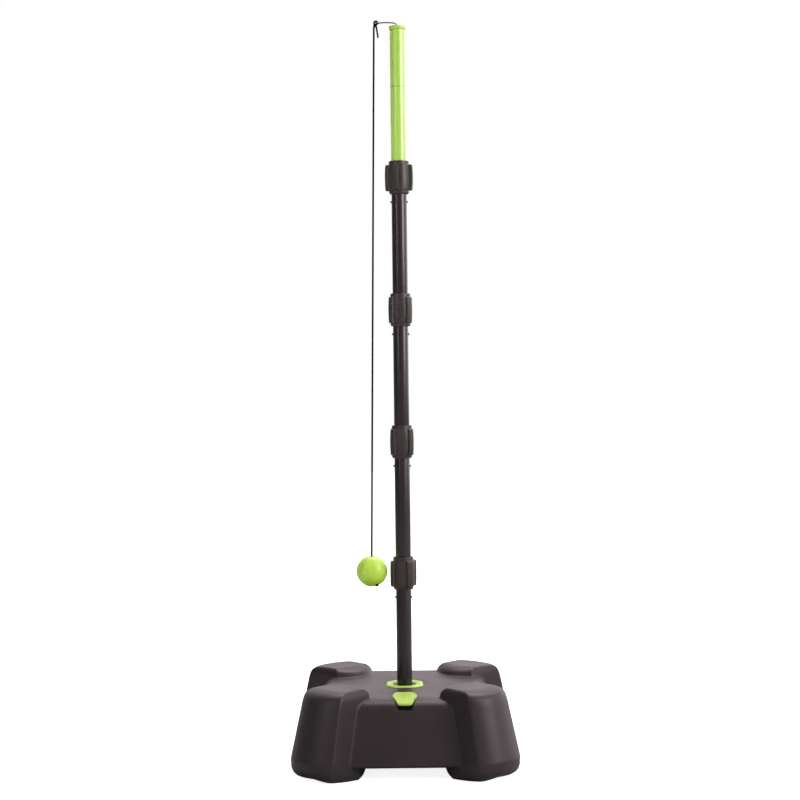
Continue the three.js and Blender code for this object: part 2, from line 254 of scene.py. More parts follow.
def cord_braid():
    """Braided polyester: diagonal strands in the cord's own UV, with fuzz."""
    s = Shader("cord_braid", (0.0045, 0.004, 0.004), 0.95, Specular_IOR_Level=0.06)
    uv = s.node("ShaderNodeTexCoord").outputs["UV"]
    heights = []
    for lean in (1, -1):
        wave = s.node("ShaderNodeTexWave", wave_type="BANDS", bands_direction="X",
                      wave_profile="SIN")
        turned = s.node("ShaderNodeMapping")
        turned.inputs["Rotation"].default_value = (0, 0, lean * math.pi / 4)
        s.link(uv, turned.inputs["Vector"])
        s.link(turned.outputs["Vector"], wave.inputs["Vector"])
        wave.inputs["Scale"].default_value = 1.1
        heights.append(wave.outputs["Fac"])
    top = s.node("ShaderNodeMath", operation="MAXIMUM")
    for socket, height in zip(top.inputs, heights):
        s.link(height, socket)
    # The strands' crowns are painted lighter and the grooves between them darker: painted highlight
    # and painted shade in the braid.
    s.link(s.mixed(top.outputs[0], s.tone(0.5), s.tone(1.7)), s.out.inputs["Base Color"])
    s.bump(top.outputs[0], 0.0002, 0.5)
    s.bump(s.noise(5200, 2), 0.00005, 0.6)
    return s.material


def ball_foam():
    s = Shader("ball_foam", (0.47, 0.73, 0.03), 0.5,
               Coat_Weight=1.0, Coat_Roughness=0.5, Coat_IOR=1.65)
    colour = s.mottle(60, 0.9, 1.06, 5)
    cells = s.node("ShaderNodeTexVoronoi", feature="F1")
    cells.inputs["Scale"].default_value = 900
    s.link(s.place, cells.inputs["Vector"])
    # The foam's pits are painted darker in patches: painted shade in the pores.
    painted_pore_shade = s.ranged(cells.outputs["Distance"], 1, 0, 0.0, 0.22)
    thinned = s.node("ShaderNodeMath", operation="MULTIPLY")
    s.link(painted_pore_shade, thinned.inputs[0])
    s.link(s.ranged(s.noise(200, 3), 0, 1, 0.45, 0.7), thinned.inputs[1])
    s.link(s.mixed(thinned.outputs[0], colour, s.tone(0.45)), s.out.inputs["Base Color"])
    s.bump(cells.outputs["Distance"], 0.00025, 0.45)
    s.bump(s.noise(90, 4), 0.0006, 0.3)
    return s.material


def floor_paint():
    """A white sweep: bright to the eye, but it throws little light back up at the trainer."""
    s = Shader("floor_paint", (0.75, 0.75, 0.75), 0.7,
               Emission_Color=(1, 1, 1, 1), Emission_Strength=0.86)
    s.mottle(1.5, 0.99, 1.01)
    seen = s.node("ShaderNodeLightPath").outputs["Is Camera Ray"]
    dim = s.node("ShaderNodeBsdfDiffuse")
    dim.inputs["Color"].default_value = (0.42, 0.42, 0.42, 1)
    either = s.node("ShaderNodeMixShader")
    s.link(seen, either.inputs["Fac"])
    s.link(dim.outputs[0], either.inputs[1])
    s.link(s.out.outputs[0], either.inputs[2])
    s.link(either.outputs[0], s.tree.nodes["Material Output"].inputs["Surface"])
    return s.material


MATERIALS = {}


def material(name):
    if not MATERIALS:
        for make in (base_plastic, nut_plastic, black_plastic, lime_plastic, black_tube, lime_tube,
                     rubber, cord_braid, ball_foam, floor_paint):
            MATERIALS[make.__name__] = make()
        MATERIALS["arm_wire"] = brushed("arm_wire", (0.23, 0.185, 0.155), 0.38, (0.05, 1, 1))
        MATERIALS["steel_pin"] = brushed("steel_pin", (0.16, 0.155, 0.15), 0.36, (0.1, 1, 1))
    return MATERIALS[name]


# ---- Mesh helpers ----
def finished(name, mesh, look, sharp=35):
    mesh.shade_smooth()
    mesh.set_sharp_from_angle(angle=math.radians(sharp))
    mesh.materials.clear()
    mesh.materials.append(material(look))
    obj = bpy.data.objects.new(name, mesh)
    bpy.context.scene.collection.objects.link(obj)
    return obj


def mesh_of(name, points, faces):
    mesh = bpy.data.meshes.new(name)
    mesh.from_pydata([tuple(p) for p in points], [], faces)
    tidy = bmesh.new()
    tidy.from_mesh(mesh)
    bmesh.ops.remove_doubles(tidy, verts=tidy.verts, dist=1e-7)
    bmesh.ops.recalc_face_normals(tidy, faces=tidy.faces)
    tidy.to_mesh(mesh)
    tidy.free()
    return mesh


def grid_faces(rows, columns, wrap_rows=False):
    """Quads between rings of points; wrap_rows joins the last ring to the first."""
    faces = []
    for i in range(rows if wrap_rows else rows - 1):
        for j in range(columns):
            a, b = i * columns + j, i * columns + (j + 1) % columns
            k = (i + 1) % rows * columns
            faces.append((a, b, k + (j + 1) % columns, k + j))
    return faces


def filleted(corners, radius, steps=3, closed=False):
    """A polyline with each corner rounded by up to radius."""
    points = []
    count = len(corners)
    for i, corner in enumerate(corners):
        here = Vector(corner)
        if not closed and i in (0, count - 1):
            points.append(here)
            continue
        before = Vector(corners[i - 1])
        after = Vector(corners[(i + 1) % count])
        reach = min(radius, (before - here).length * 0.45, (after - here).length * 0.45)
        start = here + (before - here).normalized() * reach
        end = here + (after - here).normalized() * reach
        for k in range(steps + 1):
            t = k / steps
            points.append(start * (1 - t) ** 2 + here * 2 * t * (1 - t) + end * t * t)
    return points


def lathed(name, profile, segments=96, closed=True, edge=0.4 * MM, shape=None):
    """A turned mesh about Z from (radius, height) corners.

    shape(radius, height, angle) may give another radius.
    """
    rows = filleted(profile, edge, 3, closed)
    points = []
    for r, z in rows:
        for j in range(segments):
            a = TAU * j / segments
            radius = shape(r, z, a) if shape else r
            points.append((radius * math.cos(a), radius * math.sin(a), z))
    return mesh_of(name, points, grid_faces(len(rows), segments, wrap_rows=closed))


def spline(points, per_span=8):
    """A smooth curve through points, Catmull-Rom."""
    p = [Vector(v) for v in points]
    p = [p[0] * 2 - p[1]] + p + [p[-1] * 2 - p[-2]]
    out = []
    for i in range(1, len(p) - 2):
        for k in range(per_span):
            t = k / per_span
            a, b, c, d = p[i - 1], p[i], p[i + 1], p[i + 2]
            out.append(0.5 * (b * 2 + (c - a) * t + (a * 2 - b * 5 + c * 4 - d) * t * t
                              + (b * 3 - a - c * 3 + d) * t ** 3))
    return out + [p[-2]]


def even(points, step):
    """The same route with points a fixed step apart."""
    p = np.array([tuple(v) for v in points])
    lengths = np.r_[0, np.cumsum(np.linalg.norm(np.diff(p, axis=0), axis=1))]
    count = max(2, round(lengths[-1] / step) + 1)
    at = np.linspace(0, lengths[-1], count)
    return [Vector([np.interp(s, lengths, p[:, k]) for k in range(3)]) for s in at]


DOME = ((0.86, 0.5), (0.5, 0.86))  # rings that round off a swept end: width, distance out, in radii
UV_PER_TURN = 8


def swept(name, route, radius, sides, weave=None):
    """A tube along a route; weave(angle, length so far) scales its radius.

    Its UVs keep the same scale round the tube and along it.
    """
    tangents = []
    for i in range(len(route)):
        tangents.append((route[min(i + 1, len(route) - 1)] - route[max(i - 1, 0)]).normalized())
    across = tangents[0].orthogonal().normalized()
    points, along = [], 0.0
    rings = []
    for i, (centre, tangent) in enumerate(zip(route, tangents)):
        across = (across - tangent * across.dot(tangent)).normalized()
        up = tangent.cross(across)
        along += (centre - route[i - 1]).length if i else 0
        for j in range(sides):
            a = TAU * j / sides
            r = radius * (weave(a, along) if weave else 1)
            points.append(centre + across * (r * math.cos(a)) + up * (r * math.sin(a)))
        rings.append(along)
    faces = grid_faces(len(route), sides)
    for end, row, tangent in ((0, 0, -tangents[0]), (1, len(route) - 1, tangents[-1])):
        last = [row * sides + j for j in range(sides)]
        for size, out in DOME:
            new = []
            for j in range(sides):
                spoke = points[row * sides + j] - route[row]
                new.append(len(points))
                points.append(route[row] + spoke * size + tangent * radius * out)
            for j in range(sides):
                quad = (last[j], last[(j + 1) % sides], new[(j + 1) % sides], new[j])
                faces.append(quad if end else quad[::-1])
            last = new
        tip = len(points)
        points.append(route[row] + tangent * radius)
        for j in range(sides):
            fan = (last[j], last[(j + 1) % sides], tip)
            faces.append(fan if end else fan[::-1])
    mesh = bpy.data.meshes.new(name)
    mesh.from_pydata([tuple(p) for p in points], [], faces)
    layer = mesh.uv_layers.new(name="UVMap")
    for polygon in mesh.polygons:
        columns = [mesh.loops[k].vertex_index % sides for k in polygon.loop_indices]
        wraps = max(columns) - min(columns) > sides / 2
        for k in polygon.loop_indices:
            vertex = mesh.loops[k].vertex_index
            ring = min(vertex // sides, len(route) - 1)
            column = vertex % sides
            turn = (column + (sides if wraps and column < sides / 2 else 0)) / sides
            layer.data[k].uv = (turn * UV_PER_TURN, rings[ring] / (TAU * radius) * UV_PER_TURN)
    mesh.update()
    return mesh


def cut(target, tool_mesh, operation="DIFFERENCE"):
    """target's mesh after a boolean with another mesh."""
    tool = bpy.data.objects.new("tool", tool_mesh)
    bpy.context.scene.collection.objects.link(tool)
    modifier = target.modifiers.new("cut", "BOOLEAN")
    modifier.operation = operation
    modifier.solver = "EXACT"
    modifier.object = tool
    apply_modifiers(target)
    bpy.data.objects.remove(tool)


def apply_modifiers(obj):
    shown = obj.evaluated_get(bpy.context.evaluated_depsgraph_get())
    mesh = bpy.data.meshes.new_from_object(shown)
    obj.modifiers.clear()
    old = obj.data
    obj.data = mesh
    bpy.data.meshes.remove(old)


def place(obj, body, slot, *nodes):
    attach(obj, body)
    if nodes:
        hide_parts(*nodes)
    return obj


# ---- The cord and its knots ----
EYE = Vector((-40.8, 0, 1540.6)) * MM
EYE_R = 3.7 * MM
KNOT = EYE + Vector((-4.8, 0, -5.4)) * MM
CORD_TOP = KNOT + Vector((-3, 0, -3.9)) * MM
CORD_R = 2.0 * MM
TIGHT_R = 1.8 * MM  # the cord where a knot squeezes it
BALL_KNOT_R = 1.5 * MM  # and where the ball's knot does
LAY = 4.2 * MM  # the braid's repeat along the cord
BALL = Vector((-66, 0, 397)) * MM
BALL_R = 32.5 * MM
BORE_R = 2.7 * MM
# The cord's way through the ball: straight down into its top, then out at the lower front.
BALL_MOUTH = BALL + Vector((0, 0, 35.5)) * MM
BALL_BEND = BALL + Vector((0, 0, 30.5)) * MM
BALL_EXIT = Vector((10.9, -10.6, -28.7)).normalized()
BALL_OUTLET = BALL + BALL_EXIT * (BALL_R - 1.7 * MM)


def braid(angle, along):
    """The two crossing sets of strands, as a ripple on the cord's radius."""
    turn = along / LAY
    one = abs(math.sin(2 * angle + TAU * turn / 2))
    other = abs(math.sin(2 * angle - TAU * turn / 2))
    return 1 + 0.03 * one - 0.03 * other


def corded(name, route, radius, sides):
    """A length of braided cord along a route."""
    return finished(name, swept(name, route, radius, sides, braid), "cord_braid", 180)


def build_cord():
    steps = 14
    points = [CORD_TOP.lerp(BALL_MOUTH, i / steps) for i in range(steps + 1)]
    points += [BALL_BEND] + [BALL_BEND.lerp(BALL_OUTLET, i / 3) for i in (1, 2, 3)]
    route = even(spline(points), 0.9 * MM)
    cord = corded("tether_cord_braided", route, CORD_R, 12)
    place(cord, "tether", "cord", "tether_cord")
    path = [tuple(p) for p in points]
    return cord, path


def build_eye_knot():
    """A hitch over the end of the arm's eye, two turns round itself below, and a short tail."""
    route = [KNOT + Vector((-1.4, 0.6, 0.4)) * MM]
    for k in range(22):
        a = math.radians(215 - 265 * k / 21)
        aside = (0.6 - 1.2 * k / 21) * MM
        route.append(EYE + Vector((EYE_R * (math.cos(a) - 1), aside, EYE_R * math.sin(a))))
    for k in range(33):
        a = -TAU * k / 15
        turned = Vector((2.2 * math.cos(a) - 0.3, 2.2 * math.sin(a), 2 - 4 * k / 32))
        route.append(KNOT + turned * MM)
    for offset in ((2.4, -2.4, -4.2), (2.9, -2.5, -8), (4.2, -2.2, -16), (5.4, -1.8, -24.7)):
        route.append(KNOT + Vector(offset) * MM)
    route = even(spline(route, 4), 0.7 * MM)
    knot = corded("eye_knot_wrapped", route, TIGHT_R, 14)
    core = even([KNOT + Vector((-1, 0.3, 1.6)) * MM, CORD_TOP - Vector((0, 0, 1)) * MM], 0.8 * MM)
    inner = corded("eye_knot_standing_part", core, CORD_R, 14)
    place(knot, "knot", "cord", "eye_knot")
    place(inner, "knot", "cord")
    return knot, inner


def build_ball_knot():
    """An overhand knot drawn up into the ball's dimple."""
    side = BALL_EXIT.orthogonal().normalized()
    up = BALL_EXIT.cross(side)
    seat = BALL + BALL_EXIT * (BALL_R - 0.9 * MM)
    loop = []
    for k in range(50):
        t = TAU * k / 50 * 0.93
        x = math.sin(t) + 2 * math.sin(2 * t)
        y = math.cos(t) - 2 * math.cos(2 * t)
        z = -math.sin(3 * t)
        loop.append(seat + (side * x + up * y) * 0.72 * MM + BALL_EXIT * (z * 1.5 * MM))
    route = even(spline(loop, 4), 0.7 * MM)
    knot = corded("ball_knot_overhand", route, BALL_KNOT_R, 12)
    place(knot, "tether", "cord", "ball_knot")
    return knot


build_camera()
cord, cord_path = build_cord()
knot, knot_core = build_eye_knot()
ball_knot = build_ball_knot()


# ---- Ball ----
def build_ball():
    """A foam ball: slightly uneven, puckered round its two holes, with a faint moulding seam."""
    sphere = bmesh.new()
    bmesh.ops.create_icosphere(sphere, subdivisions=6, radius=BALL_R)
    seam_axis = Vector((0.35, 0.9, 0.25)).normalized()
    holes = ((Vector((0, 0, 1)), 0.0022), (BALL_EXIT, 0.006))  # direction, depth of the dimple
    for v in sphere.verts:
        n = v.co.normalized()
        lift = 0.00035 * noise.noise(n * 3.1) + 0.00012 * noise.noise(n * 14)
        pucker = 1 + 0.8 * math.sin(9 * math.atan2(n.x, n.y))
        for hole, depth in holes:
            away = math.acos(max(-1.0, min(1.0, n.dot(hole))))
            lift -= depth * math.exp(-((away / 0.13) ** 2))
            lift -= 0.0004 * math.exp(-((away / 0.32) ** 2)) * pucker
        seam = abs(n.dot(seam_axis))
        lift += 0.00025 * math.exp(-((seam / 0.012) ** 2))
        v.co = BALL + n * (BALL_R - 0.0003 + lift)
    mesh = bpy.data.meshes.new("ball")
    sphere.to_mesh(mesh)
    sphere.free()
    ball = finished("ball_foam_skin", mesh, "ball_foam", 60)
    above = BALL_MOUTH + Vector((0, 0, 4)) * MM
    below = BALL_OUTLET + (BALL_OUTLET - BALL_BEND).normalized() * 8 * MM
    bore = even([above, BALL_BEND, below], 3 * MM)
    cut(ball, swept("bore", bore, BORE_R, 20))
    return place(ball, "tether", "foam", "ball")


# ---- Base tank ----
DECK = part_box("base_tank")[1].z - 20 * MM
DRAFT = 0.232  # how fast the walls lean in, as run over rise
BODY_HALF = 171 * MM  # half the body's width near its deck, at BODY_DATUM
BODY_DATUM = 150 * MM
BODY_CORNER = 40 * MM
VOXEL = 1.9 * MM
CAP_Y = -118 * MM  # centre of the filler neck
SOCKET_R = 20.3 * MM
RING_CLEAR = 44.8 * MM  # just past the lock ring's corners
QUARTERS = ((1, 1), (-1, 1), (-1, -1), (1, -1))


def ramp(z, table):
    """A value read off (height, value) pairs in millimetres, in metres."""
    return float(np.interp(z / MM, [h for h, _ in table], [v for _, v in table])) * MM


def square_outline(half, radius, z):
    points = []
    steps = 12
    for corner, (sx, sy) in enumerate(QUARTERS):
        for i in range(steps + 1):
            a = math.pi / 2 * (corner + i / steps)
            points.append(Vector((sx * (half - radius) + radius * math.cos(a),
                                  sy * (half - radius) + radius * math.sin(a), z)))
    return points


def stacked(name, rows):
    """A closed mesh through outlines one above another, all with the same number of points."""
    columns = len(rows[0])
    points = [p for row in rows for p in row]
    faces = grid_faces(len(rows), columns)
    faces.append(tuple(range(columns))[::-1])
    faces.append(tuple((len(rows) - 1) * columns + j for j in range(columns)))
    return mesh_of(name, points, faces)


# The body's section at heights, in millimetres: its walls drawn out, and its front drawn back.
BODY_STEP = [(25, -8), (28, -2.5), (33, 0), (140, 0), (147, -1.6), (152, -5.5), (155, -11),
             (156.6, -17), (157, -24)]
FRONT_ROLL = [(136, 0), (145, 1), (150, 3), (153, 5), (155, 8.5), (156.2, 16), (156.8, 28),
              (157, 42)]
BODY_ROWS = [25, 26, 28, 31, 35, 60, 90, 120, 132, 138, 142, 145, 148, 150, 152, 153, 154, 155,
             155.7, 156.2, 156.6, 156.8, 156.9, 157]
DECK_RISE = 3.2 * MM  # of the deck's back edge, all of it above RISE_FROM
RISE_FROM = 140 * MM
RISE_OVER = 17 * MM


def body_mesh():
    """The tank's body: its deck rolls over the front edge and rises a little to the back."""
    rows = []
    for z in [h * MM for h in BODY_ROWS]:
        half = BODY_HALF + (BODY_DATUM - z) * DRAFT + ramp(z, BODY_STEP)
        row = square_outline(half, BODY_CORNER, z)
        for p in row:
            if p.y < 0:
                p.y += ramp(z, FRONT_ROLL)
            elif z > RISE_FROM:
                p.z += DECK_RISE * (z - RISE_FROM) / RISE_OVER
        rows.append(row)
    return stacked("body", rows)


# A pillar's section at heights, in millimetres: its outer faces drawn in, its corner cut across,
# its corner's ends softened at the foot, and its tips drawn in.
FACE_IN = [(0, 27), (2, 20), (6, 13), (12, 7), (22, 2.5), (39, 0), (152, 0), (163, 1), (169, 3.5),
           (173, 8), (175.5, 14), (177, 24)]
CORNER_CUT = [(0, 34), (6, 25), (14, 15), (26, 6), (39, 0), (160, 0), (170, 3), (177, 10)]
FOOT_SOFT = [(0, 9), (8, 6), (20, 3), (39, 0)]
TIP_IN = [(0, 14), (4, 7), (12, 2), (22, 0), (152, 0), (162, 0), (168, 4), (172, 10), (175, 17),
          (177, 27)]
PILLAR_ROWS = [0, 0.7, 2, 4, 7, 11, 16, 22, 30, 39, 60, 90, 120, 140, 152, 158, 163, 166, 169, 171,
               173, 174.5, 176, 177]
PILLAR_FACE = 232 * MM  # centre line to a pillar's outer face at its widest
PILLAR_EDGE = 142.4 * MM  # centre line to where the rounded corner starts
PILLAR_WAIST = 91 * MM
PILLAR_DEEP = 61 * MM  # how far a tip lies in from the face, and in from the corner's start
PILLAR_TIP = 57 * MM


def pillar_outline(z, sx, sy):
    """One pillar's outline: built for one half, mirrored over its diagonal, then turned."""
    face = PILLAR_FACE + (39 * MM - z) * DRAFT * 0.92 - ramp(z, FACE_IN)
    edge = (PILLAR_EDGE + (46 * MM - z) * 0.127) - ramp(z, FACE_IN) * 0.35
    tip = ramp(z, TIP_IN)
    flat = ramp(z, CORNER_CUT)
    tip_point = Vector((edge - PILLAR_TIP + tip * 0.9,
                        face + ramp(z, FACE_IN) - PILLAR_DEEP + tip * 0.2))
    waist = Vector((1, 1)) * (PILLAR_WAIST + tip * 0.8)
    bulge = waist * 2 - (tip_point + tip_point.yx) / 2
    half = []
    for i in range(1, 7):
        t = 0.5 + 0.5 * i / 6
        half.append(tip_point.yx * (1 - t) ** 2 + bulge * 2 * t * (1 - t) + tip_point * t * t)
    corner = Vector((edge, face))
    inward = Vector((0.38, -0.92)) * ramp(z, FOOT_SOFT)
    for i in range(1, 9):
        half.append(tip_point.lerp(corner, i / 8) + inward * max(0.0, (i / 8 - 0.3) / 0.7) ** 2)
    for i in range(1, 13):
        a = math.pi / 2 - math.pi / 4 * i / 12
        pull = flat * math.cos(a) * 0.75
        arc = Vector((edge + (face - edge) * math.cos(a) - pull,
                      edge + (face - edge) * math.sin(a) - pull))
        half.append(arc + inward * max(0.0, 1 - i / 5) ** 2)
    whole = half + [p.yx for p in reversed(half[:-1])]
    whole.append(waist)
    points = [Vector((sx * p.x, sy * p.y, z)) for p in whole]
    return points if sx * sy < 0 else points[::-1]


def pillar_mesh(sx, sy):
    return stacked("pillar", [pillar_outline(h * MM, sx, sy) for h in PILLAR_ROWS])


# The filler cap, in millimetres: its top's height, and its half width, at places along the base.
CAP_PROFILE = [(-170, 147.8), (-158, 152.8), (-150, 155.6), (-138, 158.1), (-125, 158.7),
               (-80, 158.7)]
CAP_SIDE = [(-165, 14.6), (-127, 25.7), (-104, 22.5), (-94, 19.5), (-90, 15.5)]


def cap_top(y):
    """Height of the cap's top face at a place along the base, with the profile's bends smoothed."""
    offsets = (-3, -1.5, 0, 1.5, 3)
    heights = [float(np.interp(y / MM + d, *zip(*CAP_PROFILE))) for d in offsets]
    return sum(heights) / len(offsets) * MM


def cap_outline(grow):
    """The cap's outline with rounded corners, widened all round by grow."""
    right = [Vector((x, y)) * MM for y, x in CAP_SIDE]
    corners = right + [Vector((-p.x, p.y)) for p in reversed(right)]
    rounded = filleted([p.to_3d() for p in corners], 5 * MM, 14, True)
    middle = Vector((0, -127 * MM))
    return [p.to_2d() + (p.to_2d() - middle).normalized() * grow for p in rounded]


def pocket_mesh():
    """The seat that the filler cap drops into."""
    outline = cap_outline(1.1 * MM)
    drop = 6 * MM
    rows = [[Vector((p.x, p.y, cap_top(p.y) - drop)) for p in outline],
            [Vector((p.x, p.y, 190 * MM)) for p in outline]]
    return stacked("pocket", rows)


def recess_mesh():
    """The finger recess under the cap's lip: a pocket with leaning sides and a rounded floor."""
    rows = []
    front = -230
    for z, half, back in ((136.5, 10.8, -153), (137.1, 12.8, -151.2), (138.6, 13.9, -150),
                          (149, 18.8, -150), (158, 23, -150)):
        row = [(-half, front), (half, front), (half, back - 3), (half - 3, back), (3 - half, back),
               (-half, back - 3)]
        rows.append([Vector((x, y, z)) * MM for x, y in row])
    return stacked("recess", rows)


def build_tank():
    """The tank: body and pillars melted into one, then cut for the cap, its plug and the mast."""
    tank = finished("tank_shell", body_mesh(), "base_plastic")
    for sx, sy in QUARTERS:
        cut(tank, pillar_mesh(sx, sy), "UNION")
    remesh = tank.modifiers.new("remesh", "REMESH")
    remesh.mode = "VOXEL"
    remesh.voxel_size = VOXEL
    relax = tank.modifiers.new("relax", "SMOOTH")
    relax.factor = 0.5
    relax.iterations = 7
    apply_modifiers(tank)
    cut(tank, pocket_mesh())
    cut(tank, recess_mesh())
    neck = lathed("neck", [(0, 0.118), (0.011, 0.118), (0.011, 0.17), (0, 0.17)], 64, False, 0.0)
    cut(tank, moved(neck, (0, CAP_Y, 0)))
    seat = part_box("lock_ring")[0].z - 0.15 * MM
    rows = [(0, 0.033), (SOCKET_R, 0.033), (SOCKET_R, DECK - 0.001), (SOCKET_R + 1 * MM, seat),
            (RING_CLEAR, seat), (0.07, seat + 0.0035), (0.07, 0.19), (0, 0.19)]
    cut(tank, lathed("well", rows, 96, False, 0.0))
    tank.data.materials.clear()
    tank.data.materials.append(material("base_plastic"))
    tank.data.shade_smooth()
    tank.data.set_sharp_from_angle(angle=math.radians(40))
    return place(tank, "base", "base_plastic", "base_tank")


def moved(mesh, by):
    mesh.transform(Matrix.Translation(by))
    return mesh


def build_cap():
    """The filler cap: a plate with a raised rim that follows the deck's edge, and its plug."""
    outline = cap_outline(0)
    centre_y = -128 * MM
    # The plate's section, in millimetres: how far in from its edge, how far above its top face.
    insets = [(1.0, -4.4), (0.15, -4.2), (0, -3.7), (0, -1.1), (0.15, -0.5), (0.6, -0.1), (1.1, 0),
              (1.9, 0), (2.3, -0.15), (3.0, -0.8), (3.5, -0.9), (8, -0.8), (16, -0.75), (24, -0.75)]
    rows = []
    for inset, dz in insets:
        row = []
        for p in outline:
            toward = Vector((-p.x, (centre_y - p.y)))
            reach = min(inset * MM, toward.length * 0.96)
            q = p + toward.normalized() * reach
            row.append(Vector((q.x, q.y, cap_top(q.y) + dz * MM)))
        rows.append(row)
    cap = finished("filler_cap_plate", stacked("filler_cap", rows), "lime_plastic", 50)
    plug = [(0, 0.131), (0.0088, 0.131), (0.0104, 0.1335), (0.0104, 0.139), (0.0098, 0.1395),
            (0.0098, 0.1415), (0.0104, 0.142), (0.0104, 0.154), (0, 0.154)]
    cut(cap, moved(lathed("plug", plug, 64, False), (0, CAP_Y, 0)), "UNION")
    return place(cap, "filler_cap_body", "lime_plastic", "filler_cap")


RING_HALF = 38.5 * MM
RING_DIAGONAL = 42.6 * MM * math.sqrt(2)
RING_HOLE = 25 * MM


def octagon_radius(angle):
    """The lock ring's outline: an octagon whose corners are slightly rounded."""
    c, s = abs(math.cos(angle)), abs(math.sin(angle))
    sides = (RING_HALF / max(c, 1e-6), RING_HALF / max(s, 1e-6), RING_DIAGONAL / (c + s))
    power = 40
    return sum(d ** -power for d in sides) ** (-1 / power)


def build_ring():
    low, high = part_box("lock_ring")
    z, top = low.z, high.z

    def shape(r, h, angle):
        if r <= RING_HOLE + 1.6 * MM:
            return r
        return r - RING_HALF + octagon_radius(angle)

    rows = [(RING_HOLE, z), (38.0 * MM, z), (RING_HALF, z + 0.4 * MM), (38.3 * MM, top - 2.4 * MM),
            (35.7 * MM, top - 0.3 * MM), (34.4 * MM, top), (29.5 * MM, top),
            (28.4 * MM, top - 0.8 * MM), (RING_HOLE + 1.5 * MM, top - 1.0 * MM),
            (RING_HOLE, top - 1.6 * MM)]
    mesh = lathed("lock_ring", rows, 240, True, 0.5 * MM, shape)
    ring = finished("lock_ring_moulded", mesh, "lime_plastic", 50)
    return place(ring, "lock_ring_body", "lime_plastic", "lock_ring")


def build_bush_and_seal():
    low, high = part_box("socket_bush")
    bore = TUBE_R + 0.4 * MM
    floor = low.z + 3.0 * MM
    rim = 157.3 * MM  # underside of the bush's rim, just above the deck
    rows = [(0, low.z), (20 * MM, low.z), (20 * MM, rim), (high.x, rim),
            (high.x, high.z - 0.3 * MM), (high.x - 0.6 * MM, high.z), (bore + 2.2 * MM, high.z),
            (bore, high.z - 1.6 * MM), (bore, floor), (0, floor)]
    mesh = lathed("bush", rows, 96, False, 0.3 * MM)
    bush = finished("socket_bush_moulded", mesh, "black_plastic", 50)
    place(bush, "base", "black_plastic", "socket_bush")

    low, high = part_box("filler_seal")
    inner, outer = 11.3 * MM, (high.x - low.x) / 2
    rows = [(inner, low.z), (outer, low.z), (outer, high.z), (inner, high.z)]
    mesh = moved(lathed("seal", rows, 64, True, 0.35 * MM), (0, CAP_Y, 0))
    place(finished("filler_seal_ring", mesh, "rubber"), "base", "rubber", "filler_seal")


# ---- Mast ----
TUBE_R = 16 * MM
TUBE_WALL = 1.4 * MM
PLUG_R = TUBE_R - TUBE_WALL - 0.3 * MM
SLEEVE_R = 18.7 * MM
PITCH = 4.0 * MM  # of the sleeve's thread
PIN_R = 2.2 * MM
PIN_HALF = 18.5 * MM
# Heights from a coupling's own height: its cross pin, and its nut's ends.
PIN_DROP = 49.5 * MM
NUT_TOP = 35.5 * MM
NUT_FOOT = -33 * MM
COUPLING_Z = [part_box(f"twist_nut_{i}")[1].z - NUT_TOP for i in (1, 2, 3, 4)]
NUT_TURNS = [30, 46, 42, -13]  # degrees each nut happens to be turned, lowest first
FLUTE = 3.4 * MM  # spacing of the grooves on a wing


def crosswise(mesh, z):
    """A mesh turned about Z, laid along X at a height."""
    mesh.transform(Matrix.Translation((0, 0, z)) @ Matrix.Rotation(math.pi / 2, 4, "Y"))
    return mesh


def pin_hole(z):
    r, half = PIN_R + 0.2 * MM, 22 * MM
    rows = [(0, -half), (r, -half), (r, half), (0, half)]
    return crosswise(lathed("hole", rows, 32, False, 0.0), z)


def build_tube(node, body, look, slot, pin_z):
    low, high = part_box(node)
    inner = TUBE_R - TUBE_WALL
    rows = [(inner, low.z), (TUBE_R, low.z), (TUBE_R, high.z), (inner, high.z)]
    tube = finished(node + "_drawn", lathed(node, rows, 96, True, 0.35 * MM), look, 40)
    if pin_z is not None:
        cut(tube, pin_hole(pin_z))
        tube.data.shade_smooth()
        tube.data.set_sharp_from_angle(angle=math.radians(40))
    return place(tube, body, slot, node)


def build_spigot(number, body, z):
    """The insert in a tube's upper end: a plug, and a threaded sleeve over the tube's outside."""
    thread_foot, thread_top = -29 * MM, -2 * MM

    def thread(r, h, angle):
        local = h - z
        if r < SLEEVE_R - 0.5 * MM or not thread_foot < local < thread_top:
            return r
        wave = abs(((local / PITCH - angle / TAU) % 1) * 2 - 1)
        fade = min(1, (local - thread_foot) / PITCH, (thread_top - local) / PITCH)
        return r - 0.9 * MM * min(1, max(0, (wave - 0.25) * 2.2)) * fade

    hole = 9 * MM
    slot = TUBE_R + 0.3 * MM
    sleeve = [(SLEEVE_R, z - (29 - 0.5 * k) * MM) for k in range(55)]
    rows = [(hole, z - 62 * MM), (PLUG_R, z - 62 * MM), (PLUG_R, z - 4.7 * MM),
            (slot, z - 4.7 * MM), (slot, z - 31 * MM), (SLEEVE_R, z - 31 * MM)]
    rows += sleeve + [(SLEEVE_R, z), (hole, z)]
    mesh = lathed("spigot", rows, 72, True, 0.2 * MM, thread)
    spigot = finished(f"spigot_{number}_threaded", mesh, "black_plastic", 50)
    cut(spigot, pin_hole(z - PIN_DROP))
    return place(spigot, body, "black_plastic", f"spigot_{number}")


